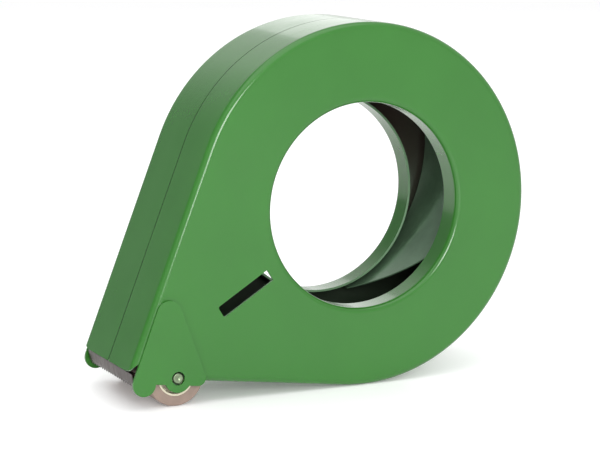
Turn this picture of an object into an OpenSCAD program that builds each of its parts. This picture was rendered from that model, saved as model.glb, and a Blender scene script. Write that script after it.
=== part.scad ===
// Hand-held tape dispenser of stamped sheet steel. Two mirrored half shells, hinged at the back,
// close round a roll of tape whose core sits on the lips of the hand hole. The tape leaves at the
// nose, over a roller and under a toothed blade that two cheek plates guard.
// X runs from the nose (-X) to the back (+X), Y is the axis of the roll and Z is up. The origin is
// at the bottom centre. The cover half is on the -Y side and the body half on the +Y side.

/* [Shell] */
// Outer radius of the round end
ring_r = 65.1; // [64.5:0.1:66]
// Width of the closed shell, over both side plates
shell_w = 46.5; // [45:0.1:48]
// Depth of the cover half, from its side plate to the seam
cover_depth = 21.5; // [21:0.1:23]
// Thickness of the shell's sheet
sheet_t = 0.8; // [0.7:0.1:1]
// Outside radius of the bend between side plate and rim
rim_bend_r = 2.4; // [2:0.1:3]
// Gap at the seam, where the two rims meet
seam_gap = 0.4; // [0.3:0.1:0.6]
// Direction that the flat front of the rim faces, from +X towards +Z
front_deg = 158.6; // [158:0.1:159]
// Direction that the flat bottom of the rim faces, from +X towards +Z
bottom_deg = 262.4; // [262:0.1:263]
// Height of the front rim's lower edge above the table
front_edge_h = 13.6; // [13:0.1:14]
// Radius of the corners at the ends of that edge
front_corner_r = 4.5; // [3:0.5:5]

/* [Hand hole and roll seat] */
// Bore of the paper core that the lips carry
core_bore = 76.2; // [75.8:0.1:76.6]
// Radial play between the core and the lips
core_play = 0.5; // [0.4:0.1:0.7]
// Depth of each lip, from the face of its side plate
lip_depth = 9.6; // [8:0.1:10]
// Outside radius of the bend between side plate and lip
lip_bend_r = 2; // [1.4:0.1:2.2]

/* [Slot in the cover] */
// Length of the slot
slot_l = 22; // [18:0.5:23]
// Width of the slot
slot_w = 4.4; // [3:0.1:4.6]
// Tilt of the slot, its inner end up
slot_deg = 32; // [28:1:36]

/* [Roller] */
// Outside radius of the roller
roller_r = 10.2; // [10:0.1:10.4]
// Distance of the roller's axis in front of the hand hole's axis
roller_reach = 72.8; // [72:0.1:73]
// Radius between the roller's sleeve and its tube
tube_r = 6.6; // [6.2:0.1:7]
// Wall of the roller's tube
tube_wall = 0.8; // [0.6:0.1:1]
// Radius of the roller's axle
axle_r = 1.9; // [1.8:0.05:2]
// Distance from the roller's ends to the outer faces of the side plates
roller_play = 1.2; // [1.2:0.1:1.6]
// Radial running clearance of the bushes on the axle
bush_play = 0.05; // [0.02:0.01:0.1]
// How far the bushes sit inside the roller's ends
bush_inset = 2.4; // [2:0.1:3]

/* [Cheek plates] */
// Thickness of a cheek plate
cheek_t = 1; // [0.8:0.1:1.2]
// How far a cheek's front edge stands behind the rim's front
cheek_setback = 1.2; // [0.8:0.1:1.6]
// Radial play of the axle's end in the cover's cheek plate
cheek_hole_play = 0.5; // [0.5:0.05:0.6]

/* [Blade] */
// Height of the blade, teeth included
blade_h = 5.2; // [5:0.1:6]
// Thickness of the blade
blade_t = 0.6; // [0.5:0.1:0.8]
// Height of the teeth
tooth_h = 1.1; // [0.8:0.1:1.3]
// Number of teeth
teeth = 21; // [17:1:25]
// Tilt of the blade from upright, its teeth towards the roller
blade_lean = 8; // [4:1:12]

/* [Brake spring] */
// Thickness of the spring leaf
leaf_t = 0.5; // [0.4:0.1:0.6]
// Curvature radius of the leaf's free part
leaf_curve_r = 59.6; // [59:0.1:60]
// Least distance of the free leaf from the hand hole's axis
leaf_hub_r = 38.9; // [38.7:0.1:39.2]

/* [Hinge] */
// Outside radius of the knuckles
knuckle_r = 2; // [1.8:0.1:2.2]
// Radius of the hinge pin
hinge_pin_r = 1; // [0.9:0.1:1.1]
// Length of one knuckle
knuckle_l = 6; // [5:0.5:6.5]
// Reach of each leaf of the hinge from the seam
leaf_reach = 12; // [11:0.5:13]

/* [Hidden] */

$fn = 96;
eps = 0.01;
enamel = [0.23, 0.50, 0.23];
steel = [0.62, 0.61, 0.56];
dark_steel = [0.42, 0.41, 0.36];
tan_rubber = [0.66, 0.55, 0.50];
cream = [0.85, 0.80, 0.68];

// Outlines are drawn in X and Z round the hand hole's axis. A direction in degrees turns from +X
// towards +Z, and y counts from the outer face of the cover's side plate.
function toward(deg) = [cos(deg), sin(deg)];
front_n = toward(front_deg);
front_down = toward(front_deg + 90);
bottom_n = toward(bottom_deg);
bottom_left = toward(bottom_deg - 90);
seam_y = cover_depth;
rim_in_r = ring_r - sheet_t;
lip_out_r = core_bore / 2 - core_play;
hand_r = lip_out_r - sheet_t;

// The roller touches the same table as the round end. The bottom of the rim stops short of it.
pin_c = [-roller_reach, roller_r - ring_r];
front_len = (ring_r * front_n[1] - front_edge_h + ring_r) / -front_down[1];
bottom_len = pin_c * bottom_left - roller_r - 0.5;
function front_point(along, depth) = (ring_r - depth) * front_n + along * front_down;

// Cheek plate: circles at the apex, the lobe that guards the blade, the rear corner and the axle.
apex = [-75.8, -32];
apex_r = 4.6;
lobe = [-85.3, pin_c[1] - 1];
lobe_r = 4.2;
corner = [-65.3, pin_c[1] - 0.6];
corner_r = 2.8;
boss_r = 5;
cheek_side_deg = 21.4;

hinge_x = ring_r + knuckle_r + 0.4;
hinge_half_l = 1.5 * knuckle_l + 0.3;
hinge_leaf_t = 0.8;
hinge_rivet_deg = 4.6;
rivet_r = 1;
head_t = 0.7;
axle_head_r = 3.4;
axle_tip_y = 0.1 - cheek_t;
axle_end_y = shell_w + cheek_t + 0.8;

// The origin is the bottom centre of the whole object's box.
x_mid = (hinge_x + knuckle_r + min(lobe[0] - lobe_r, front_point(front_len, 0)[0])) / 2;
y_mid = (axle_end_y - cheek_t) / 2;

module placed() { translate([-x_mid, -y_mid, ring_r]) children(); }

// Raises an outline drawn in X and Z from y0 to y1.
module slab(y0, y1) {
    mirror([0, 1, -1]) translate([0, 0, y0]) linear_extrude(y1 - y0) children();
}

// Sweeps a profile drawn as (radius, y) round the hand hole's axis.
module swept(from_deg, to_deg) {
    mirror([0, 1, -1]) rotate([0, 0, from_deg])
        rotate_extrude(angle = to_deg - from_deg) children();
}

// The same sweep, drawn from its far end.
module swept_back(from_deg, to_deg) {
    mirror([0, 1, -1]) rotate([0, 0, from_deg]) mirror([0, 1, 0])
        rotate_extrude(angle = from_deg - to_deg) children();
}

// Draws the same profile out straight, along the tangent at a direction.
module straight(deg, from, to) {
    rotate([0, -deg, 0]) translate([0, 0, from]) linear_extrude(to - from) children();
}

// A round bar along Y.
module bar(c, r, y0, y1) { translate([c[0], 0, c[1]]) slab(y0, y1) circle(r); }

// Mirrors a cover part onto the body's side.
module body_side() { translate([0, shell_w, 0]) mirror([0, 1, 0]) children(); }

// A quarter of a bent sheet, its convex side towards (sx, -1) from the bend's centre.
module bend(c, r, sx) {
    intersection() {
        translate(c) difference() { circle(r, $fn = 48); circle(r - sheet_t, $fn = 48); }
        translate([c[0] + (sx < 0 ? -r : 0), c[1] - r]) square(r);
    }
}

// Both profiles keep a strip of the side plate, which the flat plate overlaps by half.
strip = 2;

module rim_profile(depth) {
    c = [ring_r - rim_bend_r, rim_bend_r];
    bend(c, rim_bend_r, 1);
    translate([rim_in_r, c[1]]) square([sheet_t, depth - seam_gap / 2 - c[1]]);
    translate([c[0] - strip, 0]) square([strip, sheet_t]);
}

module lip_profile() {
    c = [hand_r + lip_bend_r, lip_bend_r];
    bend(c, lip_bend_r, -1);
    translate([hand_r, c[1]]) square([sheet_t, lip_depth - c[1]]);
    translate([c[0], 0]) square([strip, sheet_t]);
}

// Flat part of a side plate. Past the end of the rim's bottom it reaches lower, up to the nose.
module plate_outline() {
    round_r = ring_r - rim_bend_r - 0.6 * strip;
    side_r = ring_r - rim_bend_r - 0.4 * strip;
    low_r = ring_r - 1.2;
    nose_len = (side_r * front_n + front_len * front_down) * bottom_left - 1;
    difference() {
        union() {
            circle(round_r, $fn = 192);
            polygon([[0, 0], side_r * front_n, side_r * front_n + (front_len - 0.5) * front_down,
                     low_r * bottom_n + nose_len * bottom_left,
                     low_r * bottom_n + (bottom_len + 0.4) * bottom_left,
                     side_r * bottom_n + (bottom_len + 0.3) * bottom_left, side_r * bottom_n]);
        }
        circle(hand_r + lip_bend_r + 0.5 * strip, $fn = 192);
    }
}

// The front rim ends in a straight edge with round corners at the sides.
module rim_end_cutter() {
    r = front_corner_r;
    rotate([0, -front_deg, 0]) translate([ring_r - 2 * r, 0, front_len])
        rotate([0, 90, 0]) linear_extrude(3 * r) difference() {
            translate([-1, -1]) square(r + 1);
            translate([r, r]) circle(r, $fn = 48);
        }
}

// The rim runs straight from the nose, round from each end to the back, where the arcs overlap.
module half_shell(depth, axle_hole_r) {
    back = 10;
    difference() {
        slab(0, sheet_t) plate_outline();
        bar(pin_c, axle_hole_r, -1, sheet_t + 1);
    }
    swept(0, 360) lip_profile($fn = 192);
    swept(bottom_deg - 360, back) rim_profile(depth);
    swept_back(front_deg, 0) rim_profile(depth);
    straight(bottom_deg, -bottom_len, 0) rim_profile(depth);
    difference() {
        straight(front_deg, 0, front_len) rim_profile(depth);
        rim_end_cutter();
    }
}

// Rivets stand on the round rim at a direction and a distance y.
module on_rim(deg, y) { rotate([0, -deg, 0]) translate([0, y, 0]) rotate([0, 90, 0]) children(); }

module rim_hole(deg, y) {
    on_rim(deg, y) translate([0, 0, rim_in_r - 2]) cylinder(r = rivet_r, h = 6, $fn = 32);
}

module rim_rivet(deg, y, inside, outside) {
    on_rim(deg, y) {
        translate([0, 0, inside]) cylinder(r = rivet_r, h = outside - inside, $fn = 32);
        translate([0, 0, inside - head_t]) cylinder(r = 1.6, h = head_t, $fn = 32);
        intersection() {
            translate([0, 0, outside]) cylinder(r = 1.9, h = head_t, $fn = 32);
            translate([0, 0, outside + head_t - 3]) sphere(3, $fn = 48);
        }
    }
}

hinge_rivet_y = 8;
spring_rivet_degs = [61, 67.5];
spring_rivet_y = 33.5;

module body_shell() {
    color(enamel) placed() difference() {
        body_side() half_shell(shell_w - seam_y, axle_r);
        for (s = [-1, 1]) rim_hole(s * hinge_rivet_deg, seam_y + hinge_rivet_y);
        for (d = spring_rivet_degs) rim_hole(d, spring_rivet_y);
    }
}

module cover_shell() {
    color(enamel) placed() difference() {
        half_shell(seam_y, axle_r + cheek_hole_play);
        for (s = [-1, 1]) rim_hole(s * hinge_rivet_deg, seam_y - hinge_rivet_y);
        slab(-1, sheet_t + 1) translate([-46.9, -27.6]) rotate(slot_deg) slot_outline();
    }
}

// The slot's outer end has rounded corners, its inner end square ones.
module slot_outline() {
    r = 0.8;
    translate([r - slot_l / 2, -slot_w / 2]) square([slot_l - r, slot_w]);
    translate([-slot_l / 2, r - slot_w / 2]) square([slot_l, slot_w - 2 * r]);
    for (s = [-1, 1]) translate([r - slot_l / 2, s * (slot_w / 2 - r)]) circle(r, $fn = 32);
}

module cheek_outline() {
    left_n = front_n;
    right_n = toward(cheek_side_deg);
    base_slope = bottom_left[1] / bottom_left[0];
    base = corner - [0, corner_r];
    base_end = [lobe[0] + lobe_r - 0.2, base[1] + base_slope * (lobe[0] + lobe_r - 0.2 - base[0])];
    polygon([apex + apex_r * left_n, lobe + lobe_r * left_n, lobe, base_end, base,
             corner + corner_r * right_n, apex + apex_r * right_n]);
    translate(apex) circle(apex_r, $fn = 64);
    translate(lobe) circle(lobe_r, $fn = 64);
    translate(corner) circle(corner_r, $fn = 64);
    translate(pin_c) circle(boss_r, $fn = 64);
}

module cover_cheek() {
    color(enamel) placed() difference() {
        slab(-cheek_t, 0) cheek_outline();
        bar(pin_c, axle_r + cheek_hole_play, -cheek_t - 1, 1);
    }
}

module body_cheek() {
    color(enamel) placed() difference() {
        slab(shell_w, shell_w + cheek_t) cheek_outline();
        bar(pin_c, axle_r, shell_w - 1, shell_w + cheek_t + 1);
    }
}

// Axle: riveted in the body's cheek plate, its free end in the cover's.
clip_t = 0.6;
clip_y = roller_play + bush_inset - 0.4 - clip_t;
clip_r = 3.4;
clip_groove = 0.4;

module roller_axle() {
    color(steel) placed() difference() {
        union() {
            bar(pin_c, axle_r, axle_tip_y, axle_end_y);
            bar(pin_c, axle_head_r, shell_w + cheek_t, axle_end_y);
        }
        difference() {
            bar(pin_c, axle_r + 1, clip_y, clip_y + clip_t);
            bar(pin_c, axle_r - clip_groove, clip_y, clip_y + clip_t);
        }
    }
}

module axle_clip() {
    color(dark_steel) placed() difference() {
        bar(pin_c, clip_r, clip_y, clip_y + clip_t);
        bar(pin_c, axle_r - clip_groove, clip_y - 1, clip_y + clip_t + 1);
        translate([pin_c[0] - axle_r + clip_groove, clip_y - 1, pin_c[1]])
            cube([2 * (axle_r - clip_groove), clip_t + 2, clip_r + 1]);
    }
}

module axle_spacer() {
    color(steel) placed() difference() {
        bar(pin_c, 4, shell_w - roller_play - bush_inset + 0.4, shell_w - sheet_t);
        bar(pin_c, axle_r, 0, shell_w + 1);
    }
}

// Roller: rubber sleeve on a tube that turns on two bushes.
roller_y0 = roller_play;
roller_y1 = shell_w - roller_play;
bush_l = 6;

module roller_sleeve() {
    chamfer = 0.4;
    color(tan_rubber) placed() translate([pin_c[0], 0, pin_c[1]]) swept(0, 360) polygon([
        [tube_r, roller_y0], [roller_r - chamfer, roller_y0], [roller_r, roller_y0 + chamfer],
        [roller_r, roller_y1 - chamfer], [roller_r - chamfer, roller_y1], [tube_r, roller_y1]]);
}

module roller_tube() {
    color(cream) placed() difference() {
        bar(pin_c, tube_r, roller_y0, roller_y1);
        bar(pin_c, tube_r - tube_wall, 0, shell_w);
    }
}

module bush(y0) {
    color(cream) placed() difference() {
        bar(pin_c, tube_r - tube_wall, y0, y0 + bush_l);
        bar(pin_c, axle_r + bush_play, y0 - 1, y0 + bush_l + 1);
    }
}

module roller_bush_near() { bush(roller_y0 + bush_inset); }
module roller_bush_far() { bush(roller_y1 - bush_inset - bush_l); }

// Blade: it hangs below the front rim on the lower flange of its holder. The holder keeps clear of
// the cover's rim, which swings past it, and is welded to the body's rim by a pad.
blade_y0 = 1.5;
blade_y1 = shell_w - blade_y0;
blade_down = toward(blade_lean - 90);
blade_in = toward(blade_lean);
blade_top = front_point(front_len + 0.4, 1.5);
holder_t = 1;
holder_depth = 2.6;
holder_up = 12;
flange_l = 3.8;
blade_rivet_drop = 2.5;

module on_blade(y) {
    translate([blade_top[0], y, blade_top[1]]) rotate([0, 90 - blade_lean, 0]) children();
}

module cutting_blade() {
    pitch = (blade_y1 - blade_y0) / teeth;
    tips = [for (i = [0 : teeth - 1]) each [
        [blade_h - tooth_h, blade_y0 + i * pitch], [blade_h, blade_y0 + (i + 0.5) * pitch]]];
    color(steel) placed() difference() {
        on_blade(0) linear_extrude(blade_t) polygon(concat([[0, blade_y0]], tips,
            [[blade_h - tooth_h, blade_y1], [0, blade_y1]]));
        blade_holes();
    }
}

module blade_holes() {
    for (y = [9, shell_w - 9]) on_blade(y) translate([blade_rivet_drop, 0, -1])
        cylinder(r = 1, h = 5, $fn = 32);
}

module blade_rivets() {
    color(steel) placed() for (y = [9, shell_w - 9]) on_blade(y) translate([blade_rivet_drop, 0, 0]) {
        cylinder(r = 1, h = blade_t + holder_t, $fn = 32);
        translate([0, 0, blade_t + holder_t]) cylinder(r = 1.35, h = 0.5, $fn = 32);
    }
}

module blade_holder() {
    flange_top = blade_top + blade_t * blade_in;
    color(dark_steel) placed() difference() {
        union() {
            slab(blade_y0, blade_y1) polygon([
                front_point(front_len - holder_up, holder_depth),
                front_point(front_len - 0.4, holder_depth),
                flange_top + 0.2 * blade_down,
                flange_top + flange_l * blade_down,
                flange_top + holder_t * blade_in + flange_l * blade_down,
                flange_top + holder_t * blade_in + 1 * blade_down,
                front_point(front_len - 0.6, holder_depth + holder_t),
                front_point(front_len - holder_up, holder_depth + holder_t)]);
            slab(seam_y + 1.5, shell_w - rim_bend_r - 0.5) polygon([
                front_point(front_len - holder_up, sheet_t),
                front_point(front_len - 4, sheet_t),
                front_point(front_len - 4, holder_depth + eps),
                front_point(front_len - holder_up, holder_depth + eps)]);
        }
        blade_holes();
    }
}

// Brake spring: its foot is riveted inside the body's rim. The free leaf runs inwards to the hub
// as an arc, whose centre lies at a direction from the hub's axis. It widens behind the foot, clear
// of the cover's rim, and ends in a slanting cut.
leaf_y0 = 12.9;
leaf_y1 = shell_w - 3;
leaf_c_deg = 126.3;
leaf_c = (leaf_curve_r - leaf_hub_r) * toward(leaf_c_deg);
leaf_degs = [-65.5, 37.3];
foot_degs = [56.6, 72.5];

module leaf_profile(r, y0, y1) { translate([r, y0]) square([leaf_t, y1 - y0]); }

module brake_spring_root() {
    color(steel) placed() difference() {
        swept(foot_degs[0], foot_degs[1])
            leaf_profile(rim_in_r - leaf_t, seam_y + 1.5, shell_w - rim_bend_r - 0.5);
        for (d = spring_rivet_degs) rim_hole(d, spring_rivet_y);
    }
}

module brake_spring_rivets() {
    color(steel) placed() for (d = spring_rivet_degs)
        rim_rivet(d, spring_rivet_y, rim_in_r - leaf_t - 0.05, ring_r);
}

module brake_spring_arm() {
    cut_x = [32.8, 9.5];
    past = (cut_x[0] - cut_x[1]) / (leaf_y1 - leaf_y0);
    neck_z = [52, 45.5];
    color(steel) placed() difference() {
        translate([leaf_c[0], 0, leaf_c[1]]) swept(leaf_degs[0], leaf_degs[1])
            leaf_profile(leaf_curve_r, leaf_y0, leaf_y1, $fn = 192);
        translate([0, 0, -ring_r]) linear_extrude(2 * ring_r) polygon([
            [cut_x[0] + past, leaf_y0 - 1], [cut_x[1] - past, leaf_y1 + 1],
            [-ring_r, leaf_y1 + 1], [-ring_r, leaf_y0 - 1]]);
        rotate([90, 0, 90]) linear_extrude(ring_r) polygon([
            [leaf_y0 - 1, neck_z[1]], [seam_y + 1.5, neck_z[0]],
            [seam_y + 1.5, ring_r], [leaf_y0 - 1, ring_r]]);
    }
}

// Locating tabs: welded inside the body's rim, they reach under the cover's rim.
module tab_profile() {
    reach = 4;
    grip = 6;
    play = 0.5;
    t = 1.2;
    translate([rim_in_r - t, seam_y - reach]) square([t - play, reach + 0.5]);
    translate([rim_in_r - t, seam_y + 0.5 - eps]) square([t, grip]);
}

module top_locating_tab() { color(steel) placed() swept(82, 104) tab_profile(); }
module front_locating_tab() { color(steel) placed() straight(front_deg, 28, 48) tab_profile(); }
module bottom_locating_tab() { color(steel) placed() straight(bottom_deg, -38, -18) tab_profile(); }

// Hinge: one leaf on each rim, the body's with the outer knuckles, the cover's with the middle one.
module hinge_leaf(side, knuckles, bore_r) {
    half_deg = asin(hinge_half_l / ring_r);
    color(steel) placed() difference() {
        union() {
            swept(-half_deg, half_deg) translate([ring_r, 0]) span_y(side, knuckle_r + 0.6, leaf_reach)
                square([hinge_leaf_t, leaf_reach - knuckle_r - 0.6]);
            for (k = knuckles) translate([0, 0, k * (knuckle_l + 0.3) - knuckle_l / 2]) {
                translate([hinge_x, seam_y, 0]) cylinder(r = knuckle_r, h = knuckle_l, $fn = 48);
                translate([ring_r + 0.15, seam_y + (side > 0 ? 0.3 : -knuckle_r - 1), 0])
                    cube([hinge_leaf_t, knuckle_r + 0.7, knuckle_l]);
            }
        }
        translate([hinge_x, seam_y, -hinge_half_l - 1])
            cylinder(r = bore_r, h = 2 * hinge_half_l + 2, $fn = 48);
        for (s = [-1, 1]) rim_hole(s * hinge_rivet_deg, seam_y + side * hinge_rivet_y);
    }
}

module span_y(side, near, far) { translate([0, side > 0 ? seam_y + near : seam_y - far]) children(); }

module hinge_leaf_body() { hinge_leaf(1, [-1, 1], hinge_pin_r); }
module hinge_leaf_cover() { hinge_leaf(-1, [0], hinge_pin_r + bush_play); }

module hinge_pin() {
    color(dark_steel) placed() translate([hinge_x, seam_y, 0]) {
        translate([0, 0, -hinge_half_l - 0.5]) cylinder(r = hinge_pin_r, h = 2 * hinge_half_l + 1, $fn = 48);
        for (s = [0, 1]) mirror([0, 0, s]) translate([0, 0, hinge_half_l])
            cylinder(r = hinge_pin_r + 0.6, h = 0.5, $fn = 48);
    }
}

module hinge_rivets(side) {
    color(steel) placed() for (s = [-1, 1])
        rim_rivet(s * hinge_rivet_deg, seam_y + side * hinge_rivet_y, rim_in_r - 0.05,
                  ring_r + hinge_leaf_t);
}

module hinge_rivets_body() { hinge_rivets(1); }
module hinge_rivets_cover() { hinge_rivets(-1); }

body_shell();
body_cheek();
roller_axle();
axle_clip();
axle_spacer();
blade_holder();
cutting_blade();
blade_rivets();
brake_spring_root();
brake_spring_rivets();
brake_spring_arm();
top_locating_tab();
front_locating_tab();
bottom_locating_tab();
hinge_leaf_body();
hinge_leaf_cover();
hinge_pin();
hinge_rivets_body();
hinge_rivets_cover();
cover_shell();
cover_cheek();
roller_sleeve();
roller_tube();
roller_bush_near();
roller_bush_far();
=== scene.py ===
"""Looks of the hand tape dispenser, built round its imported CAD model.

Outlines are in millimetres in the drawing plane of the shells: x and z from the hand hole's axis, y
from the cover's outer face. at() turns such a point into metres of the row frame. Sizes that a
node's box can't give repeat those of the part's source.
"""

import math

import bmesh
import bpy
from mathutils import Matrix, Vector
from mathutils.geometry import tessellate_polygon


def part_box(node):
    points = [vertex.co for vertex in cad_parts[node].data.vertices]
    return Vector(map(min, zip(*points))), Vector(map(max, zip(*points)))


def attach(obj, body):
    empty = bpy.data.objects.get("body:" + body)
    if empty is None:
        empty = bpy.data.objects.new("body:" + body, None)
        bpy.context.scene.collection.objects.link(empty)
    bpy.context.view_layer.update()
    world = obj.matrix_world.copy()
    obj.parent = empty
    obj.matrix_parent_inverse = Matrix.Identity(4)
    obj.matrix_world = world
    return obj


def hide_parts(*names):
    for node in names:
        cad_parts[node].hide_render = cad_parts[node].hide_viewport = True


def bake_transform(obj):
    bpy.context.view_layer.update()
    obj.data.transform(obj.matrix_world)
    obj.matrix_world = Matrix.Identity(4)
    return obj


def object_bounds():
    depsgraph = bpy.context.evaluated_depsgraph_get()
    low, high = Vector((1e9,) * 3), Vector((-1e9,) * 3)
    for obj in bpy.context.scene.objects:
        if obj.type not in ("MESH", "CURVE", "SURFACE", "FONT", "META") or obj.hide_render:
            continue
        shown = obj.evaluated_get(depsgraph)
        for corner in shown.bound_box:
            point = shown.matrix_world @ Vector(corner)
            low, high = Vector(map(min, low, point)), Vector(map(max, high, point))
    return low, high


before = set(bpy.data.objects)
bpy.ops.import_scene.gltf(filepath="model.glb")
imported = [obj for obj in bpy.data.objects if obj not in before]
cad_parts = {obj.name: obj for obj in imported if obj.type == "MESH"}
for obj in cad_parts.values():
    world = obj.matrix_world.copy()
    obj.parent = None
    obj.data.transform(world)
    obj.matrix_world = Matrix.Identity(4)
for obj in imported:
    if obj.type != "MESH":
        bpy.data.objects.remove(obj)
cad_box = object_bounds()
MM = 0.001

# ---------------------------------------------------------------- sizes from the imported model
cover_lo, cover_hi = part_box("cover_shell")
body_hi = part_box("body_shell")[1]
roller_lo, roller_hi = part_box("roller_sleeve")
RING_R = round((cover_hi.z - cover_lo.z) / 2 / MM, 1)
SHELL_W = round((body_hi.y - cover_lo.y) / MM, 1)
ROLLER_R = (roller_hi.z - roller_lo.z) / 2 / MM
ROLLER_Y = ((roller_lo.y - cover_lo.y) / MM, (roller_hi.y - cover_lo.y) / MM)

SHEET = 0.8
RIM_BEND = 2.4
LIP_BEND = 2.0
HAND_R = 36.8
LIP_DEPTH = 9.6
SEAM_GAP = 0.4
SEAM_Y = round((cover_hi.y - cover_lo.y) / MM + SEAM_GAP / 2, 1)
FRONT_DEG = 158.6
BOTTOM_DEG = 262.4
FRONT_EDGE_H = 13.6
FRONT_CORNER = 4.5
AXLE_R = 1.9
COVER_HOLE_R = AXLE_R + 0.5


def toward(deg):
    return Vector((math.cos(math.radians(deg)), math.sin(math.radians(deg))))


FRONT_N, FRONT_DOWN = toward(FRONT_DEG), toward(FRONT_DEG + 90)
BOTTOM_N, BOTTOM_LEFT = toward(BOTTOM_DEG), toward(BOTTOM_DEG - 90)
FRONT_LEN = (RING_R * FRONT_N.y - FRONT_EDGE_H + RING_R) / -FRONT_DOWN.y


def front_point(along, depth):
    return (RING_R - depth) * FRONT_N + along * FRONT_DOWN


# The hand hole's axis, in metres: the nose is the model's leftmost point, the rim its highest.
CENTRE = Vector((
    cad_box[0].x - front_point(FRONT_LEN, 0).x * MM, cover_lo.y, cover_hi.z - RING_R * MM
))
PIN = (
    (roller_lo.x + roller_hi.x) / 2 / MM - CENTRE.x / MM,
    (roller_lo.z + roller_hi.z) / 2 / MM - CENTRE.z / MM,
)
BOTTOM_LEN = Vector(PIN).dot(BOTTOM_LEFT) - ROLLER_R - 0.5


def at(x, y, z):
    return Vector((CENTRE.x + x * MM, CENTRE.y + y * MM, CENTRE.z + z * MM))


# ---------------------------------------------------------------- materials
def srgb(*c):
    return (*[v / 12.92 if v <= 0.04045 else ((v + 0.055) / 1.055) ** 2.4 for v in c], 1)


class Look:
    """A Principled material with its texture nodes, in object coordinates (metres)."""

    def __init__(self, name, base, rough, metallic=0.0, coat=0.0):
        self.mat = bpy.data.materials.new(name)
        self.mat.use_nodes = True
        self.tree = self.mat.node_tree
        self.bsdf = self.tree.nodes["Principled BSDF"]
        self.coord = self.node("ShaderNodeTexCoord").outputs["Object"]
        self.bsdf.inputs["Base Color"].default_value = base
        self.bsdf.inputs["Roughness"].default_value = rough
        self.bsdf.inputs["Metallic"].default_value = metallic
        self.bsdf.inputs["IOR"].default_value = 1.5
        self.bsdf.inputs["Coat Weight"].default_value = coat
        self.bsdf.inputs["Coat Roughness"].default_value = 0.06
        self.normal = None

    def node(self, kind, **inputs):
        n = self.tree.nodes.new(kind)
        for key, value in inputs.items():
            n.inputs[key].default_value = value
        return n

    def link(self, out, sock):
        self.tree.links.new(out, sock)

    def noise(self, scale, detail, rough=0.5, stretch=None):
        """Fine mottling. stretch scales each axis, so a small value draws it out along that axis."""
        n = self.node("ShaderNodeTexNoise", Scale=scale, Detail=detail, Roughness=rough)
        source = self.coord
        if stretch:
            m = self.node("ShaderNodeMapping")
            m.inputs["Scale"].default_value = stretch
            self.link(self.coord, m.inputs["Vector"])
            source = m.outputs["Vector"]
        self.link(source, n.inputs["Vector"])
        return n.outputs["Fac"]

    def ramp(self, fac, *stops):
        r = self.node("ShaderNodeValToRGB")
        elements = r.color_ramp.elements
        while len(elements) < len(stops):
            elements.new(0.5)
        for e, (pos, colour) in zip(elements, stops):
            e.position, e.color = pos, colour
        self.link(fac, r.inputs["Fac"])
        return r.outputs["Color"]

    def tint(self, fac, *stops):
        self.link(self.ramp(fac, *stops), self.bsdf.inputs["Base Color"])
        return self

    def rough(self, fac, low, high):
        """Roughness from low to high over the middle of a noise's range."""
        m = self.node("ShaderNodeMapRange")
        m.inputs["From Min"].default_value, m.inputs["From Max"].default_value = 0.3, 0.7
        m.inputs["To Min"].default_value, m.inputs["To Max"].default_value = low, high
        self.link(fac, m.inputs["Value"])
        self.link(m.outputs["Result"], self.bsdf.inputs["Roughness"])
        return self

    def compute(self, operation, value, by):
        m = self.node("ShaderNodeMath")
        m.operation = operation
        m.inputs[1].default_value = by
        self.link(value, m.inputs[0])
        return m.outputs["Value"]

    def along(self, axis, start, scale):
        """Distance along an axis from a place, times a scale, both in metres."""
        split = self.node("ShaderNodeSeparateXYZ")
        self.link(self.coord, split.inputs["Vector"])
        return self.compute("MULTIPLY", self.compute("SUBTRACT", split.outputs[axis], start), scale)

    def bump(self, fac, depth_mm):
        """Relief of a depth, added to any relief that the material has already."""
        b = self.node("ShaderNodeBump", Distance=depth_mm * MM)
        self.link(fac, b.inputs["Height"])
        if self.normal:
            self.link(self.normal, b.inputs["Normal"])
        self.normal = b.outputs["Normal"]
        self.link(self.normal, self.bsdf.inputs["Normal"])
        return self


def mixed(colour, factor):
    return (*[v * factor for v in colour[:3]], 1)


GREEN = srgb(0.175, 0.41, 0.14)
enamel = Look("green_enamel", GREEN, 0.2, coat=0.25)
enamel.bsdf.inputs["Specular IOR Level"].default_value = 0.35
enamel.tint(enamel.noise(28, 3), (0.3, mixed(GREEN, 0.95)), (0.7, mixed(GREEN, 1.05)))
enamel.rough(enamel.noise(55, 4), 0.16, 0.25)
enamel.bump(enamel.noise(520, 2), 0.02).bump(enamel.noise(38, 2), 0.05)

# Sheet edges: painted shade, near black, in the seam between the halves. Elsewhere they are paler,
# partly because the enamel is thin over the corners and partly as a painted highlight where the edges
# catch the light.
EDGE = srgb(0.42, 0.55, 0.42)
edge_enamel_seam_shade = Look("edge_enamel_highlight_and_seam_shade", EDGE, 0.3, coat=0.2)
seam_shade_fac = edge_enamel_seam_shade.along("Y", CENTRE.y + SEAM_Y * MM, 50)
edge_enamel_seam_shade.tint(
    edge_enamel_seam_shade.compute("POWER", seam_shade_fac, 2), (0.003, srgb(0.08, 0.13, 0.08)), (0.015, EDGE)
)
edge_enamel_seam_shade.bump(edge_enamel_seam_shade.noise(700, 3), 0.03)

# The inside is dark, partly from its own thin paint and partly as painted shade of the closed cavity.
# It turns from green near the bottom to brown near the top.
INNER_DARK_SHADE = srgb(0.19, 0.2, 0.16)
inner_faces_shade = Look("inner_paint_and_painted_shade", INNER_DARK_SHADE, 0.34)
inner_faces_shade.tint(
    inner_faces_shade.along("Z", CENTRE.z - 0.06, 8),
    (0.1, srgb(0.14, 0.19, 0.14)), (0.45, INNER_DARK_SHADE), (0.8, srgb(0.23, 0.16, 0.15)),
)
inner_faces_shade.rough(inner_faces_shade.noise(200, 4), 0.28, 0.42).bump(inner_faces_shade.noise(900, 3), 0.01)


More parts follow.
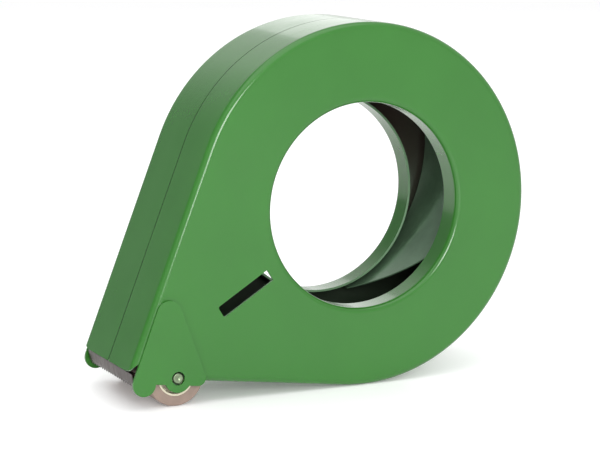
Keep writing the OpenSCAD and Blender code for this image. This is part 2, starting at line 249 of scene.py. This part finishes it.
def steel_look(name, colour, rough, stretch):
    """Brushed or plain steel. A small value in stretch draws the grain out along that axis."""
    look = Look(name, colour, rough, metallic=1.0)
    look.tint(look.noise(90, 5, 0.6), (0.3, mixed(colour, 0.82)), (0.7, mixed(colour, 1.1)))
    grain = look.noise(900, 4, 0.6, stretch)
    look.rough(grain, rough * 0.8, rough * 1.3).bump(grain, 0.006)
    return look


zinc = steel_look("zinc_plated_steel", srgb(0.72, 0.73, 0.69), 0.3, (1, 1, 1))
# Steel whose green tint is a painted reflection of the green enamel round it.
spring_steel = steel_look("spring_steel", srgb(0.40, 0.52, 0.41), 0.2, (1, 0.06, 1))
spring_steel.bsdf.inputs["Metallic"].default_value = 0.45
# Its dark brown is partly the blade's own dark steel and partly painted shade under the front rim.
blade_steel = steel_look("blade_steel", srgb(0.21, 0.16, 0.14), 0.3, (0.5, 1, 0.05))
pin_steel = steel_look("axle_steel", srgb(0.52, 0.58, 0.47), 0.35, (1, 1, 1))
dull_steel = steel_look("dull_steel", srgb(0.46, 0.40, 0.37), 0.42, (1, 0.1, 1))

RUBBER = srgb(0.54, 0.465, 0.42)
rubber = Look("roller_rubber", RUBBER, 0.5)
rubber.tint(
    rubber.noise(240, 5, 0.6), (0.28, mixed(RUBBER, 0.86)), (0.6, RUBBER), (0.8, mixed(RUBBER, 1.08))
)
rubber.rough(rubber.noise(400, 3), 0.42, 0.6).bump(rubber.noise(1500, 3), 0.02)

CREAM = srgb(0.80, 0.77, 0.68)
plastic = Look("roller_plastic", CREAM, 0.36)
plastic.tint(plastic.noise(150, 3), (0.3, mixed(CREAM, 0.93)), (0.7, CREAM))
plastic.bump(plastic.noise(1100, 2), 0.01)


# ---------------------------------------------------------------- mesh helpers
def add_piece(name, points, faces, body, looks, replaces=(), marks=None, front=None):
    """A mesh from drawing-plane points. front is (a direction, a test on a face's centre): faces
    that pass the test face that way once the normals agree."""
    bm = bmesh.new()
    verts = [bm.verts.new(at(*p)) for p in points]
    for i, face in enumerate(faces):
        if len(set(face)) >= 3:
            f = bm.faces.new([verts[k] for k in face])
            f.material_index = marks[i] if marks else 0
            f.smooth = True
    bmesh.ops.remove_doubles(bm, verts=bm.verts, dist=2e-6)
    bmesh.ops.dissolve_degenerate(bm, edges=bm.edges, dist=1e-6)
    bmesh.ops.recalc_face_normals(bm, faces=bm.faces)
    bm.normal_update()
    if front:
        direction, test = front
        vote = sum(f.normal.dot(direction) * f.calc_area() for f in bm.faces if test(f))
        if vote < 0:
            bmesh.ops.reverse_faces(bm, faces=bm.faces)
    mesh = bpy.data.meshes.new(name)
    bm.to_mesh(mesh)
    bm.free()
    for look in looks:
        mesh.materials.append(look.mat)
    obj = bpy.data.objects.new(name, mesh)
    bpy.context.scene.collection.objects.link(obj)
    if body:
        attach(obj, body)
    if replaces:
        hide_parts(*replaces)
    return obj


def thicken(obj, thickness, even=True, inner=0, rim=0):
    """Sheet of a thickness behind the surface. inner and rim say how far down the list of materials
    its inner face and its edges find theirs."""
    m = obj.modifiers.new("sheet", "SOLIDIFY")
    m.thickness, m.offset, m.use_even_offset = thickness * MM, -1, even
    m.material_offset, m.material_offset_rim = inner, rim


def round_edges(obj, width, segments=2, angle=40):
    """Rounds edges sharper than an angle, and keeps the flats beside them looking flat."""
    m = obj.modifiers.new("edges", "BEVEL")
    m.width, m.segments, m.limit_method = width * MM, segments, "ANGLE"
    m.angle_limit = math.radians(angle)
    m.miter_outer = "MITER_ARC"
    m.use_clamp_overlap = True
    w = obj.modifiers.new("flats", "WEIGHTED_NORMAL")
    w.mode, w.weight, w.keep_sharp = "FACE_AREA_WITH_ANGLE", 60, True


def skin(n_rows, m, wrap=False):
    """Quads over rows of m points, and from the last row back to the first one if wrap is set."""
    faces = []
    for k in range(n_rows if wrap else n_rows - 1):
        a, b = k * m, (k + 1) % n_rows * m
        faces += [(a + i, a + i + 1, b + i + 1, b + i) for i in range(m - 1)]
    return faces


def shifted(faces, by):
    return [tuple(i + by for i in face) for face in faces]


def arc(centre, r, a0, a1, n):
    """n + 1 points on a circle, from the angle a0 to a1."""
    return [
        (centre[0] + r * math.cos(math.radians(a0 + (a1 - a0) * k / n)),
         centre[1] + r * math.sin(math.radians(a0 + (a1 - a0) * k / n)))
        for k in range(n + 1)
    ]


def line_meets_circle(point, direction, centre, r, far):
    """The angle on a circle where a line cuts it, on its far or near side."""
    to = Vector(point) - Vector(centre)
    b, c = to.dot(direction), to.length_squared - r * r
    t = -b + (1 if far else -1) * math.sqrt(b * b - c)
    p = to + direction * t
    return math.degrees(math.atan2(p.y, p.x))


def fill(loops):
    """Triangles of a flat outline with holes, indexed along the loops one after another."""
    return tessellate_polygon([[Vector((x, z, 0)) for x, z in loop] for loop in loops])


def plate(name, outline, hole, y0, y1, body, look, replaces):
    """A flat plate with one hole between y0 and y1, with rounded edges."""
    loops = [outline, hole]
    flat = [p for loop in loops for p in loop]
    n = len(flat)
    points = [(x, y, z) for y in (y0, y1) for x, z in flat]
    faces = []
    for tri in fill(loops):
        faces += [tuple(tri), tuple(k + n for k in reversed(tri))]
    start = 0
    for loop in loops:
        m = len(loop)
        for k in range(m):
            a, b = start + k, start + (k + 1) % m
            faces.append((a, b, b + n, a + n))
        start += m
    obj = add_piece(name, points, faces, body, [look], replaces)
    round_edges(obj, 0.32, 3)


def turned(profile, origin, axis, segments=64):
    """Points and faces of a profile (radius, height) turned round an axis in drawing coordinates."""
    axis = Vector(axis).normalized()
    u = axis.orthogonal().normalized()
    v = axis.cross(u)
    points = []
    for k in range(segments):
        t = 2 * math.pi * k / segments
        out = u * math.cos(t) + v * math.sin(t)
        points += [tuple(Vector(origin) + axis * h + out * r) for r, h in profile]
    return points, skin(segments, len(profile), wrap=True)


def turned_piece(name, parts, body, looks, replaces, edge=0, segments=64):
    """One piece of several turned profiles, each (profile, origin, axis)."""
    points, faces = [], []
    for profile, origin, axis in parts:
        part_points, part_faces = turned(profile, origin, axis, segments)
        faces += shifted(part_faces, len(points))
        points += part_points
    obj = add_piece(name, points, faces, body, looks, replaces)
    if edge:
        round_edges(obj, edge)


def closed(profile):
    return [*profile, profile[0]]


# ---------------------------------------------------------------- half shells
BEND_STEPS = 10
NOSE_SHARES = (1, 0.95, 0.8, 0.6, 0.35, 0)
FRONT_STEPS = 12
ARC_STEPS = 120
BOTTOM_STEPS = 8
LIP_STEPS = 128


def rim_profile(half_w):
    """(depth below the rim's outer face, y) from the seam to the flat of the side plate."""
    straight_y = [half_w - SEAM_GAP / 2, half_w - 0.9, 16, 10, 5, RIM_BEND]
    bend = arc((RIM_BEND, RIM_BEND), RIM_BEND, 180, 270, BEND_STEPS)
    return [(0, y) for y in straight_y] + bend[1:]


def lip_profile():
    """(radius, y) from the flat of the side plate to the end of the lip in the hand hole."""
    bend = arc((HAND_R + LIP_BEND, LIP_BEND), LIP_BEND, 270, 180, BEND_STEPS)
    return bend + [(HAND_R, LIP_BEND + (LIP_DEPTH - LIP_BEND) * k / 4) for k in range(1, 5)]


def rim_rows():
    """For each place along the rim, from the nose to the bottom's end, a function from (depth, y)
    to (x, z). The first rows round the corner between the front's lower edge and the side plate."""
    corner = FRONT_CORNER
    base = FRONT_LEN - corner

    def nose(share):
        def place(depth, y):
            reach = math.sqrt(max(0, corner**2 - (corner - min(y, corner)) ** 2))
            return front_point(base + share * reach, depth)
        return place

    def flat(normal, direction, along):
        return lambda depth, y: (RING_R - depth) * normal + along * direction

    rows = [nose(share) for share in NOSE_SHARES]
    rows += [
        flat(FRONT_N, FRONT_DOWN, base * k / FRONT_STEPS) for k in range(FRONT_STEPS - 1, 0, -1)
    ]
    sweep = FRONT_DEG - (BOTTOM_DEG - 360)
    rows += [
        flat(toward(FRONT_DEG - sweep * k / ARC_STEPS), Vector((0, 0)), 0)
        for k in range(ARC_STEPS + 1)
    ]
    rows += [
        flat(BOTTOM_N, BOTTOM_LEFT, BOTTOM_LEN * k / BOTTOM_STEPS)
        for k in range(1, BOTTOM_STEPS + 1)
    ]
    return rows


def side_outline(rows, axle_hole_r):
    """The flat of the side plate. Past the end of the rim's bottom it reaches lower, round the axle
    hole, and then to the nose."""
    inset, step, nose_cut = 1.2, 0.2, 1
    low_r, nose_r = RING_R - inset, RING_R - RIM_BEND - SHEET
    low_start = low_r * BOTTOM_N + (BOTTOM_LEN + step) * BOTTOM_LEFT
    low_end = (nose_r * FRONT_N + FRONT_LEN * FRONT_DOWN).dot(BOTTOM_LEFT) - nose_cut
    crossings = [
        line_meets_circle(low_start, BOTTOM_LEFT, PIN, axle_hole_r, far) for far in (False, True)
    ]
    return [
        *[place(RIM_BEND, 0) for place in rows[len(NOSE_SHARES) - 1:]],
        low_start,
        *arc(PIN, axle_hole_r, *crossings, 20),
        low_r * BOTTOM_N + low_end * BOTTOM_LEFT,
        front_point(FRONT_LEN - 0.5, RIM_BEND + SHEET),
    ]


def slot_outline():
    """Rounded corners at the slot's outer end, nearly square ones at its inner end."""
    length, width, tilt, centre = 22, 4.4, math.radians(32), Vector((-46.9, -27.6))
    corners = [(-1, -1, 0.8), (1, -1, 0.12), (1, 1, 0.12), (-1, 1, 0.8)]
    outline = []
    for k, (sx, sz, r) in enumerate(corners):
        c = (sx * (length / 2 - r), sz * (width / 2 - r))
        outline += arc(c, r, 180 + 90 * k, 270 + 90 * k, 4)
    turn = Matrix.Rotation(tilt, 2)
    return [tuple(centre + turn @ Vector(p)) for p in outline]


def half_shell(name, body, node):
    """One sheet for the rim, its bend, the side plate and the lip. Only the cover has the slot."""
    is_body = body == "body"

    def deep(y):
        return SHELL_W - y if is_body else y

    profile, rows = rim_profile(SHELL_W - SEAM_Y if is_body else SEAM_Y), rim_rows()
    points = []
    for place in rows:
        for depth, y in profile:
            x, z = place(depth, y)
            points.append((x, deep(y), z))
    faces = skin(len(rows), len(profile))

    lip = [(r, deep(y)) for r, y in lip_profile()]
    lip_points, lip_faces = turned(lip, (0, 0, 0), (0, 1, 0), LIP_STEPS)
    faces += shifted(lip_faces, len(points))
    points += lip_points

    hole = [(x, z) for x, _, z in lip_points[:: len(lip)]]
    loops = [side_outline(rows, AXLE_R if is_body else COVER_HOLE_R), hole]
    if not is_body:
        loops.append(slot_outline())
    faces += shifted(fill(loops), len(points))
    points += [(x, deep(0), z) for loop in loops for x, z in loop]

    outward = Vector((0, 1 if is_body else -1, 0))
    obj = add_piece(
        name, points, faces, body, [enamel, inner_faces_shade, edge_enamel_seam_shade], [node],
        front=(outward, lambda f: abs(f.normal.y) > 0.99),
    )
    thicken(obj, SHEET, inner=1, rim=2)
    round_edges(obj, 0.18, 2, 50)


half_shell("cover_half", "cover", "cover_shell")
half_shell("body_half", "body", "body_shell")


# ---------------------------------------------------------------- cheek plates
APEX, APEX_R = (-75.8, -32), 4.6
LOBE, LOBE_R = (-85.3, PIN[1] - 1), 4.2
CORNER, CORNER_R = (-65.3, PIN[1] - 0.6), 2.8
BOSS_R = 5
CHEEK_SIDE_DEG = 21.4
CHEEK_T = 1


def cheek_outline():
    base, along = (CORNER[0], CORNER[1] - CORNER_R), Vector(BOTTOM_LEFT)
    lobe_end = line_meets_circle(base, along, LOBE, LOBE_R, False)
    boss_0 = line_meets_circle(base, along, PIN, BOSS_R, True)
    boss_1 = line_meets_circle(base, along, PIN, BOSS_R, False)
    return (
        arc(APEX, APEX_R, CHEEK_SIDE_DEG, FRONT_DEG, 20)
        + arc(LOBE, LOBE_R, FRONT_DEG, lobe_end % 360, 20)
        + arc(PIN, BOSS_R, boss_0 % 360, boss_1 % 360, 16)
        + arc(CORNER, CORNER_R, 270, 360 + CHEEK_SIDE_DEG, 14)
    )


def axle_hole(r):
    return arc(PIN, r, 0, 360, 48)[:-1]


plate("cover_cheek_plate", cheek_outline(), axle_hole(COVER_HOLE_R), -CHEEK_T, 0, "cover",
      enamel, ["cover_cheek"])
plate("body_cheek_plate", cheek_outline(), axle_hole(AXLE_R), SHELL_W, SHELL_W + CHEEK_T, "body",
      enamel, ["body_cheek"])


# ---------------------------------------------------------------- roller and axle
TUBE_R, TUBE_WALL, BUSH_IN, BUSH_L = 6.6, 0.8, 2.4, 6
pin_at = (PIN[0], 0, PIN[1])
y0, y1 = ROLLER_Y
EDGE_R, WEAR = 0.5, 0.04
sleeve = [
    (TUBE_R, y0),
    *arc((ROLLER_R - EDGE_R, y0 + EDGE_R), EDGE_R, -90, 0, 3),
    (ROLLER_R, y0 + 8), (ROLLER_R - WEAR, SHELL_W / 2), (ROLLER_R, y1 - 8),
    *arc((ROLLER_R - EDGE_R, y1 - EDGE_R), EDGE_R, 0, 90, 3),
    (TUBE_R, y1),
]
turned_piece("rubber_sleeve", [(closed(sleeve), pin_at, (0, 1, 0))], "roller", [rubber],
             ["roller_sleeve"], 0.1, 96)

tube_in = TUBE_R - TUBE_WALL
tube = [
    (TUBE_R, y0), (tube_in + 0.15, y0), (tube_in, y0 + 0.25), (tube_in, y1 - 0.25),
    (tube_in + 0.15, y1), (TUBE_R, y1),
]
turned_piece("roller_core", [(closed(tube), pin_at, (0, 1, 0))], "roller", [plastic],
             ["roller_tube"], 0.08)

# A bush's outer end has a shallow ring-shaped hollow between its hub and its rim.
BUSH_BORE, HUB_R, HOLLOW = AXLE_R + 0.05, 3.1, 0.5
bush = [
    (BUSH_BORE, 0), (HUB_R, 0), (HUB_R, HOLLOW), (tube_in - 0.7, HOLLOW), (tube_in - 0.7, 0),
    (tube_in, 0), (tube_in, BUSH_L), (BUSH_BORE, BUSH_L),
]
for side, bush_y, inward in (("near", y0 + BUSH_IN, 1), ("far", y1 - BUSH_IN, -1)):
    turned_piece(f"bush_{side}", [(closed(bush), (PIN[0], bush_y, PIN[1]), (0, inward, 0))], "roller",
                 [plastic], [f"roller_bush_{side}"], 0.08)

# The axle has a dimple in its near end, a groove for the clip and a low domed head at its far end.
HEAD_R, HEAD_T = 3.4, 0.8
GROOVE_R = AXLE_R - 0.4
TIP_Y, END_Y = 0.1 - CHEEK_T, SHELL_W + CHEEK_T + HEAD_T
CLIP_Y, CLIP_T = y0 + BUSH_IN - 1, 0.6
axle = [
    (0, TIP_Y + 0.25), (0.35, TIP_Y + 0.2), (0.6, TIP_Y), (AXLE_R - 0.3, TIP_Y),
    (AXLE_R, TIP_Y + 0.3), (AXLE_R, CLIP_Y), (GROOVE_R, CLIP_Y), (GROOVE_R, CLIP_Y + CLIP_T),
    (AXLE_R, CLIP_Y + CLIP_T), (AXLE_R, END_Y - HEAD_T), (HEAD_R, END_Y - HEAD_T),
    (HEAD_R, END_Y - 0.45), (HEAD_R - 0.25, END_Y - 0.2), (HEAD_R - 1, END_Y - 0.04), (0, END_Y),
]
turned_piece("axle_pin", [(axle, pin_at, (0, 1, 0))], "body", [pin_steel], ["roller_axle"],
             0.05)


# ---------------------------------------------------------------- blade
BLADE_Y0, BLADE_Y1 = 1.5, SHELL_W - 1.5
BLADE_H, BLADE_T, TOOTH_H, TEETH, LEAN = 5.2, 0.6, 1.1, 21, 8
BLADE_TOP = front_point(FRONT_LEN + 0.4, 1.5)
BLADE_DOWN, BLADE_IN = toward(LEAN - 90), toward(LEAN)


def blade_point(down, y, depth):
    p = BLADE_TOP + down * BLADE_DOWN + depth * BLADE_IN
    return (p.x, y, p.y)


def blade():
    """Teeth ground from the front: their tips are thin and their backs flat."""
    pitch = (BLADE_Y1 - BLADE_Y0) / TEETH
    root, grind = BLADE_H - TOOTH_H, BLADE_H - TOOTH_H - 0.9

    def bevelled(down):
        return 0.48 * (down - grind) / (BLADE_H - grind)

    points, faces = [], []
    for i in range(TEETH):
        ya = BLADE_Y0 + i * pitch
        yb, ym = ya + pitch, ya + pitch / 2
        k = len(points)
        for y in (ya, yb):
            points += [blade_point(0, y, 0), blade_point(grind, y, 0),
                       blade_point(root, y, bevelled(root)), blade_point(root, y, BLADE_T),
                       blade_point(0, y, BLADE_T)]
        points += [blade_point(BLADE_H, ym, bevelled(BLADE_H)), blade_point(BLADE_H, ym, BLADE_T)]
        a, b, tip_front, tip_back = k, k + 5, k + 10, k + 11
        faces += [
            (a, b, b + 1, a + 1), (a + 1, b + 1, b + 2, a + 2), (a + 2, b + 2, tip_front),
            (a + 2, tip_front, tip_back, a + 3), (tip_front, b + 2, b + 3, tip_back),
            (a + 3, tip_back, b + 3), (a + 3, b + 3, b + 4, a + 4), (a + 4, b + 4, b, a),
        ]
        if i == 0:
            faces.append((a, a + 1, a + 2, a + 3, a + 4))
        if i == TEETH - 1:
            faces.append((b, b + 4, b + 3, b + 2, b + 1))
    obj = add_piece("toothed_blade", points, faces, "body", [blade_steel],
                    ["cutting_blade"])
    round_edges(obj, 0.05, 1)


blade()


# ---------------------------------------------------------------- brake spring
LEAF_T, LEAF_R, LEAF_HUB_R, LEAF_C_DEG = 0.5, 59.6, 38.9, 126.3
LEAF_C = (LEAF_R - LEAF_HUB_R) * toward(LEAF_C_DEG)
LEAF_DEGS = (-65.5, 37.3)
LEAF_Y = (12.9, SHELL_W - 3)
FOOT_DEGS = (56.6, 72.5)
FOOT_Y = (SEAM_Y + 1.5, SHELL_W - RIM_BEND - 0.5)
CUT_X = (32.8, 9.5)
NECK_Z = (52, 45.5)
FOOT_STEPS, ARM_STEPS = 12, 90


def brake_leaf():
    """One strip from the riveted foot to the free end, bending where the arm flexes."""
    path = []
    foot_r = RING_R - SHEET - LEAF_T
    for k in range(FOOT_STEPS + 1):
        d = toward(FOOT_DEGS[1] + (FOOT_DEGS[0] + 0.9 - FOOT_DEGS[1]) * k / FOOT_STEPS)
        path.append((foot_r * d, FOOT_Y[0], FOOT_Y[1]))
    for k in range(ARM_STEPS + 1):
        s = k / ARM_STEPS
        p = LEAF_C + LEAF_R * toward(LEAF_DEGS[1] - 0.8 + (LEAF_DEGS[0] - LEAF_DEGS[1] + 0.8) * s)
        near, far = LEAF_Y
        if p.y > NECK_Z[1] and p.x > 20:
            share = min(1, (p.y - NECK_Z[1]) / (NECK_Z[0] - NECK_Z[1]))
            near += share * (FOOT_Y[0] - near)
        if p.x < CUT_X[0] and p.y < NECK_Z[1]:
            near += (CUT_X[0] - p.x) * (LEAF_Y[1] - LEAF_Y[0]) / (CUT_X[0] - CUT_X[1])
        path.append((p, near, far))
    across = 10
    points = [
        (p.x, near + (far - near) * j / across, p.y)
        for p, near, far in path for j in range(across + 1)
    ]
    obj = add_piece(
        "brake_leaf", points, skin(len(path), across + 1), None, [spring_steel],
        ["brake_spring_root", "brake_spring_arm"],
        front=(Vector((-1, 0, 0)), lambda f: f.calc_center_median().x > CENTRE.x + 0.03),
    )
    thicken(obj, LEAF_T, even=False)
    round_edges(obj, 0.1)
    for name in [mod.name for mod in obj.modifiers]:
        with bpy.context.temp_override(object=obj, active_object=obj, selected_objects=[obj]):
            bpy.ops.object.modifier_apply(modifier=name)
    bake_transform(obj)


brake_leaf()


# ---------------------------------------------------------------- rivets
SHANK_R, DOME_R, DOME_H = 1, 1.85, 0.66
INNER_HEAD_R, INNER_HEAD_T = 1.6, 0.7


def rivet(low):
    """(radius, height) of a rivet: a flat inner head below low, a domed outer head above 0."""
    sphere_r = (DOME_R**2 + DOME_H**2) / (2 * DOME_H)
    top = math.asin(DOME_R / sphere_r)
    dome = [
        (sphere_r * math.sin(t), DOME_H - sphere_r * (1 - math.cos(t)))
        for t in [top * (1 - k / 6) for k in range(7)]
    ]
    inner = [
        (0, low - INNER_HEAD_T), (INNER_HEAD_R - 0.1, low - INNER_HEAD_T),
        (INNER_HEAD_R, low - INNER_HEAD_T + 0.15), (INNER_HEAD_R, low), (SHANK_R, low),
    ]
    return inner + [(SHANK_R, -0.02), (DOME_R, -0.02)] + dome


def rim_rivets(name, degs, y, inside_r, outside_r, node):
    parts = []
    for deg in degs:
        d = toward(deg)
        foot = (d.x * outside_r, y, d.y * outside_r)
        parts.append((rivet(inside_r - outside_r), foot, (d.x, 0, d.y)))
    turned_piece(name, parts, "cover" if "cover" in node else "body", [zinc], [node],
                 0, 40)


RIM_IN = RING_R - SHEET
HINGE_T = 0.8
rim_rivets("spring_rivets", (61, 67.5), 33.5, RIM_IN - LEAF_T - 0.05, RING_R, "brake_spring_rivets")
for side, node in ((1, "hinge_rivets_body"), (-1, "hinge_rivets_cover")):
    rim_rivets(node.replace("hinge_rivets", "leaf_rivets"), (-4.6, 4.6), SEAM_Y + side * 8,
               RIM_IN - 0.05, RING_R + HINGE_T, node)


# ---------------------------------------------------------------- hinge
KNUCKLE_R, HINGE_PIN_R, KNUCKLE_L, LEAF_REACH = 1.998, 1, 6, 12
HINGE_X = RING_R + 2.4
HALF_L = 1.5 * KNUCKLE_L + 0.3


def hinge_leaf(name, node, body, side, knuckles, bore):
    """A strip riveted to the rim, whose tongues curl round the pin."""
    points, faces = [], []

    def block(rows):
        """Rows of equal loops, skinned and capped."""
        k, m = len(points), len(rows[0])
        for row in rows:
            points.extend(row)
        for a in range(len(rows) - 1):
            for b in range(m):
                c = (b + 1) % m
                faces.append((k + a * m + b, k + a * m + c, k + (a + 1) * m + c, k + (a + 1) * m + b))
        faces.append(tuple(range(k + m - 1, k - 1, -1)))
        faces.append(tuple(range(k + (len(rows) - 1) * m, k + len(rows) * m)))

    # Strip on the rim, its outer corners rounded, following the rim's curve.
    rows, corner, steps = [], 2.2, 24
    for j in range(steps + 1):
        z = -HALF_L + 2 * HALF_L * j / steps
        over = max(0, abs(z) - (HALF_L - corner))
        far = LEAF_REACH - corner + math.sqrt(max(0, corner**2 - over**2))
        sag = math.sqrt(RING_R**2 - z * z)
        top = math.sqrt((RING_R + HINGE_T) ** 2 - z * z)
        ys = [SEAM_Y + side * (KNUCKLE_R + 0.6), SEAM_Y + side * far]
        rows.append([(sag, ys[0], z), (top, ys[0], z), (top, ys[1], z), (sag, ys[1], z)])
    block(rows)

    # Curls: the strip's thickness wrapped round the pin, open where it meets the leaf again.
    mid_r, half_t = (KNUCKLE_R + bore) / 2, (KNUCKLE_R - bore) / 2
    for k in knuckles:
        z0 = k * (KNUCKLE_L + 0.3) - KNUCKLE_L / 2
        line = [(KNUCKLE_R + 1.0, -2.0, 0.4), (KNUCKLE_R - 0.6, -1.95, 0.42)]
        for a in range(-80, -331, -10):
            t = math.radians(a)
            line.append((mid_r * math.cos(t), mid_r * math.sin(t), half_t))
        left, right = [], []
        for i, (u, v, t) in enumerate(line):
            p0, p1 = line[max(0, i - 1)], line[min(len(line) - 1, i + 1)]
            d = Vector((p1[0] - p0[0], p1[1] - p0[1])).normalized()
            n = Vector((-d.y, d.x))
            left.append((u + n.x * t, v + n.y * t))
            right.append((u - n.x * t, v - n.y * t))
        loop = left + right[::-1]
        block([[(HINGE_X + v, SEAM_Y + side * u, z) for u, v in loop]
               for z in (z0, z0 + KNUCKLE_L)])
    obj = add_piece(name, points, faces, body, [zinc], [node])
    round_edges(obj, 0.12, 2, 35)


hinge_leaf("hinge_half_body", "hinge_leaf_body", "body", 1, (-1, 1), HINGE_PIN_R)
hinge_leaf("hinge_half_cover", "hinge_leaf_cover", "cover", -1, (0,), HINGE_PIN_R + 0.05)
head = HINGE_PIN_R + 0.6
pin_profile = [
    (0, -HALF_L - 0.5), (head - 0.3, -HALF_L - 0.5), (head, -HALF_L - 0.25), (head, -HALF_L),
    (HINGE_PIN_R, -HALF_L), (HINGE_PIN_R, HALF_L), (head, HALF_L), (head, HALF_L + 0.25),
    (head - 0.3, HALF_L + 0.5), (0, HALF_L + 0.5),
]
turned_piece("hinge_wire", [(pin_profile, (HINGE_X, SEAM_Y, 0), (0, 0, 1))], "body", [dull_steel],
             ["hinge_pin"], 0.05, 32)


# ---------------------------------------------------------------- CAD nodes that stay
kept = {
    "axle_clip": spring_steel, "axle_spacer": zinc, "blade_holder": dull_steel,
    "blade_rivets": blade_steel, "top_locating_tab": dull_steel, "front_locating_tab": dull_steel,
    "bottom_locating_tab": dull_steel,
}
for node, look in kept.items():
    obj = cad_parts[node]
    obj.data.materials.clear()
    obj.data.materials.append(look.mat)
    round_edges(obj, 0.12)

# ---------------------------------------------------------------- stage, camera, light
floor_look = Look("floor", (0.9, 0.9, 0.91, 1), 0.45)
floor_look.bsdf.inputs["Emission Color"].default_value = (1, 1, 1, 1)
floor_look.bsdf.inputs["Emission Strength"].default_value = 0.15
floor_look.tint(floor_look.noise(3, 2), (0.3, (0.9, 0.9, 0.905, 1)), (0.7, (0.92, 0.92, 0.92, 1)))
bpy.ops.mesh.primitive_plane_add(size=14, location=(0, 2, cad_box[0].z))
floor = bpy.context.object
floor.name = "floor"
floor.data.materials.append(floor_look.mat)

# The camera looks at the cover's outer face from where the photograph was taken.
SENSOR, LENS = 36, 129
CAM_DISTANCE = 0.75118
CAM_TARGET = at(-26.06, 0, -4.9)
CAM_BACK = Vector((-0.42522, -0.88965, 0.16646)).normalized()
camera = bpy.data.objects.new("camera", bpy.data.cameras.new("camera"))
bpy.context.scene.collection.objects.link(camera)
camera.data.sensor_width, camera.data.lens = SENSOR, LENS
camera.location = CAM_TARGET + CAM_BACK * CAM_DISTANCE
camera.rotation_mode = "QUATERNION"
camera.rotation_quaternion = (-CAM_BACK).to_track_quat("-Z", "Y")
camera.data.clip_start, camera.data.clip_end = 0.01, 50
bpy.context.scene.camera = camera


def softbox(name, azimuth, elevation, distance, size, power):
    """An area light aimed at the middle of the object. Azimuth 0 is in front, 90 on the right."""
    light = bpy.data.lights.new(name, "AREA")
    light.shape, light.size, light.size_y = "RECTANGLE", size[0], size[1]
    light.energy = power
    obj = bpy.data.objects.new(name, light)
    bpy.context.scene.collection.objects.link(obj)
    a, e = math.radians(azimuth), math.radians(elevation)
    back = Vector((math.sin(a) * math.cos(e), -math.cos(a) * math.cos(e), math.sin(e)))
    obj.location = at(0, SEAM_Y, 0) + back * distance
    obj.rotation_mode = "QUATERNION"
    obj.rotation_quaternion = (-back).to_track_quat("-Z", "Y")


softbox("key", -17, 15, 1.0, (0.34, 0.38), 5.6)
softbox("top", -40, 75, 1.6, (2.0, 2.0), 14)
softbox("back", 152, 20, 1.8, (0.8, 0.9), 1.7)


def studio_world():
    """White all round but for a dimmer patch behind on the left, which the front rim reflects."""
    world = bpy.data.worlds.new("studio")
    bpy.context.scene.world = world
    world.use_nodes = True
    tree = world.node_tree
    background = tree.nodes["Background"]
    background.inputs["Strength"].default_value = 0.92
    coord = tree.nodes.new("ShaderNodeTexCoord")
    toward_patch = tree.nodes.new("ShaderNodeVectorMath")
    toward_patch.operation = "DOT_PRODUCT"
    toward_patch.inputs[1].default_value = Vector((-0.75, 0.62, 0.25)).normalized()
    shade = tree.nodes.new("ShaderNodeValToRGB")
    white, dim = shade.color_ramp.elements
    white.position, white.color = 0.66, (1, 1, 1, 1)
    dim.position, dim.color = 0.86, (0.34, 0.34, 0.36, 1)
    tree.links.new(coord.outputs["Generated"], toward_patch.inputs[0])
    tree.links.new(toward_patch.outputs["Value"], shade.inputs["Fac"])
    tree.links.new(shade.outputs["Color"], background.inputs["Color"])


studio_world()
bpy.context.scene.view_settings.view_transform = "Standard"
bpy.context.scene.view_settings.look = "None"
